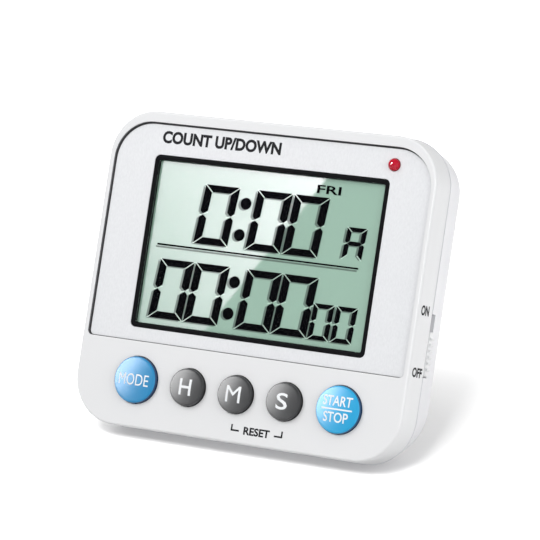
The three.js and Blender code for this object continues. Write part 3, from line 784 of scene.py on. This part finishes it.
def cut_grid(mesh, step):
    """Cuts a flat mesh along a grid, so that it can follow a curved face."""
    form = bmesh.new()
    form.from_mesh(mesh)
    for axis in (0, 1):
        reach = max(abs(vertex.co[axis]) for vertex in form.verts)
        normal = Vector((1, 0, 0)) if axis == 0 else Vector((0, 1, 0))
        for i in range(-int(reach / step), int(reach / step) + 1):
            everything = form.verts[:] + form.edges[:] + form.faces[:]
            bmesh.ops.bisect_plane(form, geom=everything, plane_co=normal * (i * step), plane_no=normal)
    form.to_mesh(mesh)
    form.free()
    return mesh


def lay_on(mesh, place):
    """Moves each flat point (x, y) to place(x, y), a point in the case frame."""
    for vertex in mesh.vertices:
        vertex.co = place(vertex.co.x, vertex.co.y)
    return mesh


def print_flat(name, mesh, x, y, z, material):
    """Prints flat lettering on a face at depth y, centred on (x, z)."""
    lay_on(mesh, lambda across, up: Vector((x + across, y - PRINT_LIFT, z + up)))
    piece(name, mesh, material, "case")


title = text_mesh("COUNT UP/DOWN", 3.2, 33.6, 0.42)
day = text_mesh("FRI", 2.1, 6.6, 0.2)
reset = text_mesh("RESET", 2.0, 7.2, 0.35)
print_flat("mode_title", title, -14.6, PLATE_Y, 33.7, DARK_PRINT)
print_flat("lcd_day", day, 16.4, DIGIT_Y + PRINT_LIFT, 25, LCD_BLACK)
print_flat("reset_label", reset, 7.45, 0, -36.5, DARK_PRINT)

BRACKET_BAR = 0.42
BRACKET_Z = -36.95
BRACKET_W = 2.3
BRACKET_H = 1.65


def bracket(name, x, direction):
    """Corner mark beside the reset label, opening upwards and towards it."""

    def rectangle(w, h):
        far = x + direction * w
        return [(x, BRACKET_Z), (far, BRACKET_Z), (far, BRACKET_Z + h), (x, BRACKET_Z + h)]

    marks = [rectangle(BRACKET_BAR, BRACKET_H), rectangle(BRACKET_W, BRACKET_BAR)]
    mesh = flat_sheet(marks, -PRINT_LIFT / 2, thick=PRINT_LIFT / 2)
    piece(name, mesh, DARK_PRINT, "case")


bracket("reset_mark_left", 0.3, 1)
bracket("reset_mark_right", 14.6, -1)


def side_print(name, words, y_middle, z_middle, width, height):
    """Lettering on the right side of the front shell, read from the right."""
    front_y, front_inset = FRONT_PROFILE[6]
    slope = front_inset / (PARTING_Y - front_y)

    def on_side(across, up):
        y = y_middle + across
        return Vector((CASE_W / 2 - slope * (PARTING_Y - y) + PRINT_LIFT, y, z_middle + up))

    mesh = lay_on(text_mesh(words, height, width, 0.35), on_side)
    mesh.flip_normals()
    piece(name, mesh, DARK_PRINT, "case")


side_print("on_label", "ON", 3.9, -1.3, 4.4, 2.5)
side_print("off_label", "OFF", 4.4, -16.4, 5.4, 2.4)

# ---------------------------------------------------------------- buttons


def cap_top(share, r):
    """Depth of a cap's domed top at a share of its radius from its middle."""
    y = -BUTTON_RISE + CAP_SLOPE * r / 2 * share**2
    if share > CAP_ROUND_FROM:
        out = (share - CAP_ROUND_FROM) / (1 - CAP_ROUND_FROM)
        y += CAP_ROUND * (1 - math.sqrt(max(0.0, 1 - out**2)))
    return y


def cap_label(name, words, x, up, r, width, height, weight, body):
    """Lettering that follows a cap's domed top, centred that far above its middle."""
    def on_cap(across, above):
        share = math.hypot(across, above + up) / r
        return Vector((x + across, cap_top(share, r) - PRINT_LIFT, BUTTON_Z + up + above))

    mesh = lay_on(cut_grid(text_mesh(words, height, width, weight), 0.5), on_cap)
    piece(name, mesh, WHITE_PRINT, body)


# Shares of the radius at which the domed top is drawn.
CAP_SHARES = (0.02, 0.15, 0.3, 0.45, 0.6, 0.7, 0.8, 0.86, 0.9, 0.925, 0.95, 0.97, 0.985, 0.996, 1)
CAP_WORDS = {  # words, height above the middle, width, height and weight of the letters
    "mode": [("MODE", 0, 8.4, 2.9, 0)],
    "hour": [("H", 0, 3.3, 4.1, 0.1)],
    "minute": [("M", 0, 4.0, 4.1, 0)],
    "second": [("S", 0, 3.1, 4.1, 0.1)],
    "start_stop": [("START", 2.05, 7.8, 2.5, 0.15), ("STOP", -1.95, 6.6, 2.5, 0.15)],
}
CAP_FINISHES = {"mode": (BLUE_CAP, "button_blue"), "start_stop": (SKY_CAP, "button_blue")}
caps = []
for name, x, r in BUTTONS:
    profile = [(r * share, cap_top(share, r)) for share in CAP_SHARES]
    profile += [(r, 2.7), (r + BUTTON_FLANGE_R, 2.7), (r + BUTTON_FLANGE_R, 3.7)]
    finish, slot_name = CAP_FINISHES.get(name, (GREY_CAP, "button_grey"))
    body = name + "_key"
    cap = lathe(profile, x, BUTTON_Z, 96)
    caps.append(piece(name + "_cap", cap, finish, body, [name + "_button"]))
    for i, (words, up, width, height, weight) in enumerate(CAP_WORDS[name]):
        cap_label(f"{name}_label_{i + 1}", words, x, up, r, width, height, weight, body)

# The rule between START and STOP follows the dome in short steps.
_, x, r = BUTTONS[-1]
RULE_HALF_W = 4.1
RULE_LOW = BUTTON_Z - 0.17
RULE_HIGH = BUTTON_Z + 0.22
rule_steps = [x + RULE_HALF_W * (i / 8 - 1) for i in range(17)]
rule_quads = [
    [(a, RULE_LOW), (b, RULE_LOW), (b, RULE_HIGH), (a, RULE_HIGH)]
    for a, b in zip(rule_steps, rule_steps[1:])
]
rule_mesh = flat_sheet(rule_quads, 0, thick=PRINT_LIFT)
for vertex in rule_mesh.vertices:
    vertex.co.y += cap_top(abs(vertex.co.x - x) / r, r)
piece("start_stop_rule", rule_mesh, WHITE_PRINT, "start_stop_key")

# ---------------------------------------------------------------- signal lamp

LED_DOME_H = 1.3
LED_RIM_Y = 0.65
LED_FLANGE_R = 1.9

lamp_angles = [math.radians(degrees) for degrees in (2, 12, 24, 36, 48, 60, 72, 82, 90)]
lamp_profile = [(LED_R * math.sin(a), LED_RIM_Y - LED_DOME_H * math.cos(a)) for a in lamp_angles]
lamp_profile += [(LED_R, 4.4), (LED_FLANGE_R, 4.4), (LED_FLANGE_R, 5.2)]
lamp_mesh = lathe(lamp_profile, LED_X, LED_Z, 40)
signal_lamp = piece("signal_lamp", lamp_mesh, LAMP_RED, "case", ["signal_led"])

# ---------------------------------------------------------------- rear shell

rear_outer_sections = [rear_section(y, inset) for y, inset in smooth_profile(REAR_PROFILE)]
rear_inner = loft([rear_section(y, inset) for y, inset in ((7.1, WALL), (17, 3.13), (20.3, 6.4))])
# Walls of the cell bay, of the hinge and of the leg's recess, and bosses of the magnets and screws.
inside_blocks = [
    block(-BAY["half_w"] - 1, BAY["half_w"] + 1, BAY["floor_y"] - 0.9, REAR_Y, BAY["z0"] - 1, BAY["z1"] + 1),
    block(-14.2, 14.2, 16.4, REAR_Y, 2.6, 11.7),
    block(-12.2, 12.2, 17.6, REAR_Y, -40, 4),
    *[bar(MAGNET_BOSS_R, 18.3, REAR_Y, side * MAGNET_X, MAGNET_Z) for side in (-1, 1)],
    *[bar(REAR_BOSS_R, 8.9, REAR_Y, x, z, 24) for _, x, z in CASE_SCREWS],
]


def door_outline(grow):
    """Outline of the ledge that the battery door closes."""
    return rounded_outline(
        -BAY["half_w"] - DOOR_LEDGE - grow, BAY["half_w"] + DOOR_LEDGE + grow,
        BAY["z0"] - DOOR_LEDGE - grow, BAY["z1"] + DOOR_LEDGE + grow, 2 + grow, 2 + grow, 6,
    )


def recess_outline(grow):
    """Outline of the recess that the leg folds into, open at the bottom."""
    return rounded_outline(-RECESS_HALF_W - grow, RECESS_HALF_W + grow, -46, 9.6 + grow, 0.8 + grow, 0.8, 4)


cuts = [
    block(-BAY["half_w"], BAY["half_w"], BAY["floor_y"], REAR_Y + 1, BAY["z0"], BAY["z1"]),
    flared(door_outline, REAR_Y, 0.25, DOOR_SEAT_Y, -1),
    flared(recess_outline, REAR_Y, 0.4, 18.8, -1),
    block(-RECESS_HALF_W, RECESS_HALF_W, 17.6, REAR_Y, 4.2, 9.6),
    block(CASE_W / 2 - 5, CASE_W / 2 + 1, PARTING_Y - 2, SLOT_BACK_Y, *SLOT),
    *[flared(circle_at(side * MAGNET_X, MAGNET_Z, MAGNET_SEAT_R), REAR_Y, 0.2, 19.5, -1) for side in (-1, 1)],
]
for _, x, z in CASE_SCREWS:
    cuts.append(bar(SCREW_HOLE_R, 8, REAR_Y, x, z, 20))
    cuts.append(flared(circle_at(x, z, SCREW_WELL_R, 32), REAR_Y, 0.3, 10.5, -1))
for i in range(7):
    reach = SOUND_RING_R if i else 0
    hole = (BUZZER_X + reach * math.cos(i * math.pi / 3), BUZZER_Z + reach * math.sin(i * math.pi / 3))
    cuts.append(flared(circle_at(*hole, SOUND_HOLE_R, 20), REAR_Y, 0.15, 19, -1))

rear = loft(rear_outer_sections)
rear_outer = rear.copy()
rear = carve(rear, [("DIFFERENCE", rear_inner)])
for part in inside_blocks:
    rear = carve(rear, [("UNION", carve(part, [("INTERSECT", rear_outer.copy())]))])
rear = carve(rear, [("DIFFERENCE", cut) for cut in cuts])
flat_normals(piece("rear_case", rear, REAR_SHADED_WHITE, "case", ["rear_shell"]))

door_solid = loft([(DOOR_SEAT_Y + GAP, door_outline(-0.2)), (REAR_Y + 1, door_outline(-0.2))])
door_steps = [("INTERSECT", rear_outer.copy())]
for i in range(4):
    z = 27.4 + i * 1.5
    door_steps.append(("DIFFERENCE", block(-6, 6, REAR_Y - 0.35, REAR_Y + 1, z - 0.35, z + 0.35)))
door = piece("door", carve(door_solid, door_steps), REAR_SHADED_WHITE, "door", ["battery_door"])
bevel(door, 0.12)
flat_normals(door)

# ---------------------------------------------------------------- slide switch knob

knob_x = CASE_W / 2
knob = loft([
    (y, rounded_outline(42.5, knob_x - inset, KNOB[0] + inset, KNOB[1] - inset, 0.3, 0.3, 3))
    for y, inset in ((8.7, 0.15), (8.85, 0), (10.55, 0), (10.7, 0.15))
])
lower_edge = [(-0.3, -0.42), (0.35, -0.3), (0.5, -0.08)]
ridge_section = lower_edge + [(out, -up) for out, up in reversed(lower_edge)]
knob_parts = []
for i in range(KNOB_RIDGES):
    z = KNOB[0] + 1.75 + 1.5 * i
    ridge = [(knob_x + out, z + up) for out, up in ridge_section]
    knob_parts.append(("UNION", loft([(8.8, ridge), (10.6, ridge)])))
# A back plate that keeps the slot closed above the knob.
knob_parts.append(("UNION", block(42.5, 43.5, 8.75, 10.65, KNOB[0] + 0.4, SLOT[1] - GAP)))
piece("slide_knob", carve(knob, knob_parts), WHITE_PLASTIC, "power_slider", ["switch_knob"])

# ---------------------------------------------------------------- leg

rake = leg_open - lean
hinge_height = hinge.z / MM


def foot_z(y):
    """Height in the leg's own frame, at that depth, of the surface the timer stands on."""
    return -(hinge_height + y * math.sin(rake)) / math.cos(rake)


# Closed (y, z) outline of the leg, which is thicker at its foot.
side_view = [
    (-0.9, 0), (-0.9, foot_z(-0.9)), (1.8, foot_z(1.8)), (1.8, foot_z(0) + 2.5),
    (1.3, foot_z(0) + 4), (1.3, 0),
]


def extrude_across(view, x0, x1):
    """Closed solid of a side view of (y, z) points, anticlockwise from the right, across the width."""
    n = len(view)
    vertices = [(x, y, z) for x in (x0, x1) for y, z in view]
    faces = [tuple(reversed(range(n))), tuple(range(n, 2 * n))]
    for i in range(n):
        j = (i + 1) % n
        faces.append((i, j, n + j, n + i))
    return make_mesh(vertices, faces)


def rod(r, x0, x1):
    """Round bar across the width."""
    return extrude_across(circle_at(0, 0, r, 32)(0), x0, x1)


leg_mesh = carve(extrude_across(side_view, -LEG_HALF_W, LEG_HALF_W), [
    ("UNION", rod(HINGE_BARREL_R, -LEG_HALF_W, LEG_HALF_W)),
    ("UNION", block(-LEG_HALF_W, LEG_HALF_W, -1, 1, 0, 2.3)),
    ("DIFFERENCE", rod(HINGE_HOLE_R, -20, 20)),
    ("DIFFERENCE", block(-8, 8, 0.8, 3, foot_z(0) + 9, -5)),
])
leg = piece("leg", leg_mesh, REAR_SHADED_WHITE, "stand", ["stand_leg"], LEG)
bevel(leg, 0.25)
flat_normals(leg)

# ---------------------------------------------------------------- cells

# (radius, place along the axis) from the flat end to the tip
CAN_PROFILE = [
    (3.4, -19.6), (4.5, -19.6), (4.8, -19.3), (4.8, 23.6), (4.5, 23.9), (1.9, 23.9), (1.9, 24.7), (1.7, 24.9),
]
SLEEVE_PROFILE = [(4.3, -19.55), (4.95, -19.5), (5.15, -19.2), (5.15, 23.4), (4.95, 23.8), (4.1, 23.95)]
for name, (z, side) in CELLS.items():
    lay_down = Matrix(((0, side, 0, 0), (-side, 0, 0, CELL_Y), (0, 0, 1, z), (0, 0, 0, 1)))
    for part, profile, finish, stands_for in (
        ("can", CAN_PROFILE, STEEL, []),
        ("sleeve", SLEEVE_PROFILE, CELL_SKIN, ["battery_" + name]),
    ):
        mesh = lathe(profile, 0, 0)
        mesh.transform(lay_down)
        piece(f"cell_{part}_{name}", mesh, finish, "case", stands_for)

# ---------------------------------------------------------------- finishes of the kept CAD pieces

KEPT = {
    "lcd_holder": HOLDER_WHITE, "zebra_strip": RUBBER_BLACK, "key_mat": SILICONE, "circuit_board": BOARD,
    "chip_blob": EPOXY_BLACK, "crystal_can": NICKEL, "capacitor": SLEEVE_BLUE, "switch_body": STEEL,
    "switch_lever": RUBBER_BLACK, "buzzer_disc": BRASS, "buzzer_wire_red": WIRE_RED,
    "buzzer_wire_black": WIRE_BLACK, "hinge_pin": STEEL, "magnet_left": NICKEL, "magnet_right": NICKEL,
}
KEPT.update({name: STEEL for name in frame["nodes"] if "screw" in name})
KEPT.update({name: NICKEL for name in frame["nodes"] if "_contact_" in name and "pill" not in name})
KEPT.update({name: RUBBER_BLACK for name in frame["nodes"] if name.endswith("_pill")})
for name, finish in KEPT.items():
    node = frame["nodes"][name]
    node.data.materials.clear()
    node.data.materials.append(finish)

# ---------------------------------------------------------------- floor and lights

FLOOR_HALF = 3
FLOOR_GLOW_FROM = (0.045, 0.12)  # distance from the middle over which the glow grows; the weaker glow near the middle is painted shadow round the timer
FLOOR_GLOW = (0.02, 0.42)
SKY_STRENGTH = (0.47, 0.76)  # straight down and straight up

corners = [(x * FLOOR_HALF, y * FLOOR_HALF, 0) for x, y in ((-1, -1), (1, -1), (1, 1), (-1, 1))]
floor_mesh = make_mesh(corners, [(0, 1, 2, 3)])
floor_material, floor_tree, floor_bsdf = new_material("pale_floor")
floor_bsdf.inputs["Roughness"].default_value = 0.9
floor_bsdf.inputs["Specular IOR Level"].default_value = 0.1
floor_bsdf.inputs["Emission Color"].default_value = (1, 1, 1, 1)
floor_place = floor_tree.nodes.new("ShaderNodeTexCoord")
from_middle = floor_tree.nodes.new("ShaderNodeVectorMath")
from_middle.operation = "LENGTH"
# The floor glows less near the timer: painted shadow round its foot.
floor_glow = floor_tree.nodes.new("ShaderNodeMapRange")
floor_glow.inputs["From Min"].default_value = FLOOR_GLOW_FROM[0]
floor_glow.inputs["From Max"].default_value = FLOOR_GLOW_FROM[1]
floor_glow.inputs["To Min"].default_value = FLOOR_GLOW[0]
floor_glow.inputs["To Max"].default_value = FLOOR_GLOW[1]
floor_tree.links.new(floor_place.outputs["Object"], from_middle.inputs[0])
floor_tree.links.new(from_middle.outputs["Value"], floor_glow.inputs["Value"])
floor_tree.links.new(floor_glow.outputs["Result"], floor_bsdf.inputs["Emission Strength"])
vary_colour(floor_tree, floor_bsdf, noise(floor_tree, 8, 2), (0.9, 0.9, 0.9), (0.92, 0.92, 0.92))
floor_mesh.materials.append(floor_material)
floor = bpy.data.objects.new("floor", floor_mesh)
bpy.context.scene.collection.objects.link(floor)
floor.visible_diffuse = False

world = bpy.data.worlds.new("studio")
bpy.context.scene.world = world
world.use_nodes = True
sky = world.node_tree
sky.nodes["Background"].inputs["Color"].default_value = (1, 1, 1, 1)
direction = sky.nodes.new("ShaderNodeTexCoord")
height = sky.nodes.new("ShaderNodeVectorMath")
height.operation = "DOT_PRODUCT"
height.inputs[1].default_value = (0, 0, 1)
gradient = sky.nodes.new("ShaderNodeMapRange")
gradient.inputs["From Min"].default_value = -1
gradient.inputs["From Max"].default_value = 1
gradient.inputs["To Min"].default_value = SKY_STRENGTH[0]
gradient.inputs["To Max"].default_value = SKY_STRENGTH[1]
sky.links.new(direction.outputs["Generated"], height.inputs[0])
sky.links.new(height.outputs["Value"], gradient.inputs["Value"])
sky.links.new(gradient.outputs["Result"], sky.nodes["Background"].inputs["Strength"])

bpy.context.scene.view_settings.view_transform = "Standard"


def area_light(name, place, facing, size, watts):
    """Rectangular light at a place, facing along a direction, unseen by the camera."""
    light = bpy.data.lights.new(name, "AREA")
    light.shape = "RECTANGLE"
    light.size, light.size_y = size
    light.energy = watts
    obj = bpy.data.objects.new(name, light)
    obj.location = place
    obj.rotation_mode = "QUATERNION"
    obj.rotation_quaternion = Vector(facing).to_track_quat("-Z", "Y")
    obj.visible_camera = False
    bpy.context.scene.collection.objects.link(obj)
    return obj


def shine_only_on(light, receivers):
    """Limits a light to some objects."""
    group = bpy.data.collections.new(light.name + "_receivers")
    for receiver in receivers:
        group.objects.link(receiver)
    light.light_linking.receiver_collection = group


case_middle = (cad_low + cad_high) / 2
for name, place, size, watts in (
    ("key", Vector((-0.45, -0.5, 0.6)), (0.35, 0.35), 2.2),
    ("top", Vector((0.05, 0.1, 0.9)), (0.9, 0.9), 0.4),
    ("side", Vector((0.9, -0.25, 0.35)), (0.7, 0.7), 2.6),
    ("front", Vector((0.45, -0.9, 0.5)), (0.6, 0.6), 0.9),
    ("low", Vector((0.28, -0.4, 0.08)), (0.2, 0.2), 0.15),
):
    area_light(name, place, case_middle - place, size, watts)

# A tall soft box on the left, mirrored by the upper left of the domed caps.
glow_place = Vector((-0.72, -0.42, 0.35))
left_glow = area_light("left_glow", glow_place, case_middle - glow_place, (0.75, 0.85), 36)
left_glow.visible_diffuse = False
shine_only_on(left_glow, caps)

# A narrow light that draws a bright line along the right edge of the front shell.
edge_place = Vector((0.33, -0.66, 0.42))
edge_light = area_light("edge_light", edge_place, case_middle - edge_place, (0.12, 0.4), 4)
edge_light.visible_diffuse = False
shine_only_on(edge_light, [front_case])

# A small light that the domed signal lamp mirrors as one bright dot.
GLINT_DISTANCE = 0.5
lamp_place = CASE @ Vector((LED_X, 0, LED_Z))
lamp_slope = (CASE.to_3x3() @ Vector((-0.12, -1, 0.1))).normalized()
to_camera = (camera.location - lamp_place).normalized()
towards_glint = 2 * to_camera.dot(lamp_slope) * lamp_slope - to_camera
glint_place = lamp_place + GLINT_DISTANCE * towards_glint
glint = area_light("lamp_glint", glint_place, -towards_glint, (0.24, 0.24), 16)
glint.visible_diffuse = False
shine_only_on(glint, [signal_lamp])

# A lamp for the floor alone, high in front, so that the shadow of the timer falls behind it.
floor_lamp_place = Vector((0.1, -0.72, 0.7))
floor_lamp = area_light("floor_lamp", floor_lamp_place, -floor_lamp_place, (0.4, 0.4), 13)
shine_only_on(floor_lamp, [floor])

# Window light mirrored by the display. Its straight edge crosses the display as a slanted line.
GLARE_EDGE = (Vector((15.3, REFLECTOR_Y, 27.93)), Vector((-12.1, REFLECTOR_Y, -13.37)))
GLARE_DISTANCE = 0.6
GLARE_SIZE = (0.08, 0.135)

glass_point = CASE @ ((GLARE_EDGE[0] + GLARE_EDGE[1]) / 2)
mirrored_camera = camera.location - 2 * (camera.location - glass_point).dot(depth_axis) * depth_axis
glare_facing = (mirrored_camera - glass_point).normalized()
light_plane_point = glass_point - GLARE_DISTANCE * glare_facing


def on_light_plane(point):
    """Where the sight line from the mirrored camera through a point of the glass meets the light."""
    ray = (CASE @ point - mirrored_camera).normalized()
    along = (light_plane_point - mirrored_camera).dot(glare_facing) / ray.dot(glare_facing)
    return mirrored_camera + along * ray


edge_top, edge_bottom = (on_light_plane(point) for point in GLARE_EDGE)
edge_up = (edge_top - edge_bottom).normalized()
edge_out = edge_up.cross(glare_facing).normalized()
glare_centre = (edge_top + edge_bottom) / 2 + edge_out * GLARE_SIZE[0] / 2
glare = area_light("window_glare", glare_centre, glare_facing, GLARE_SIZE, 0.6)
glare.data.color = (1, 0.82, 0.94)
glare_axes = Matrix((-edge_out, edge_up, -glare_facing)).transposed()
glare.rotation_quaternion = glare_axes.to_quaternion()
shine_only_on(glare, lcd_sheets)

# The light is brighter towards its straight edge and its top.
glare.data.use_nodes = True
glow = glare.data.node_tree
across_light = glow.nodes.new("ShaderNodeNewGeometry")
split = glow.nodes.new("ShaderNodeSeparateXYZ")
glow.links.new(across_light.outputs["Parametric"], split.inputs["Vector"])
total = glow.nodes.new("ShaderNodeMath")
for index, (axis, low, high) in enumerate((("X", 0.02, 0.17), ("Y", 0.0, 0.7))):
    ramp = glow.nodes.new("ShaderNodeMapRange")
    ramp.inputs["To Min"].default_value = low
    ramp.inputs["To Max"].default_value = high
    glow.links.new(split.outputs[axis], ramp.inputs["Value"])
    glow.links.new(ramp.outputs["Result"], total.inputs[index])
glow.links.new(total.outputs["Value"], glow.nodes["Emission"].inputs["Strength"])
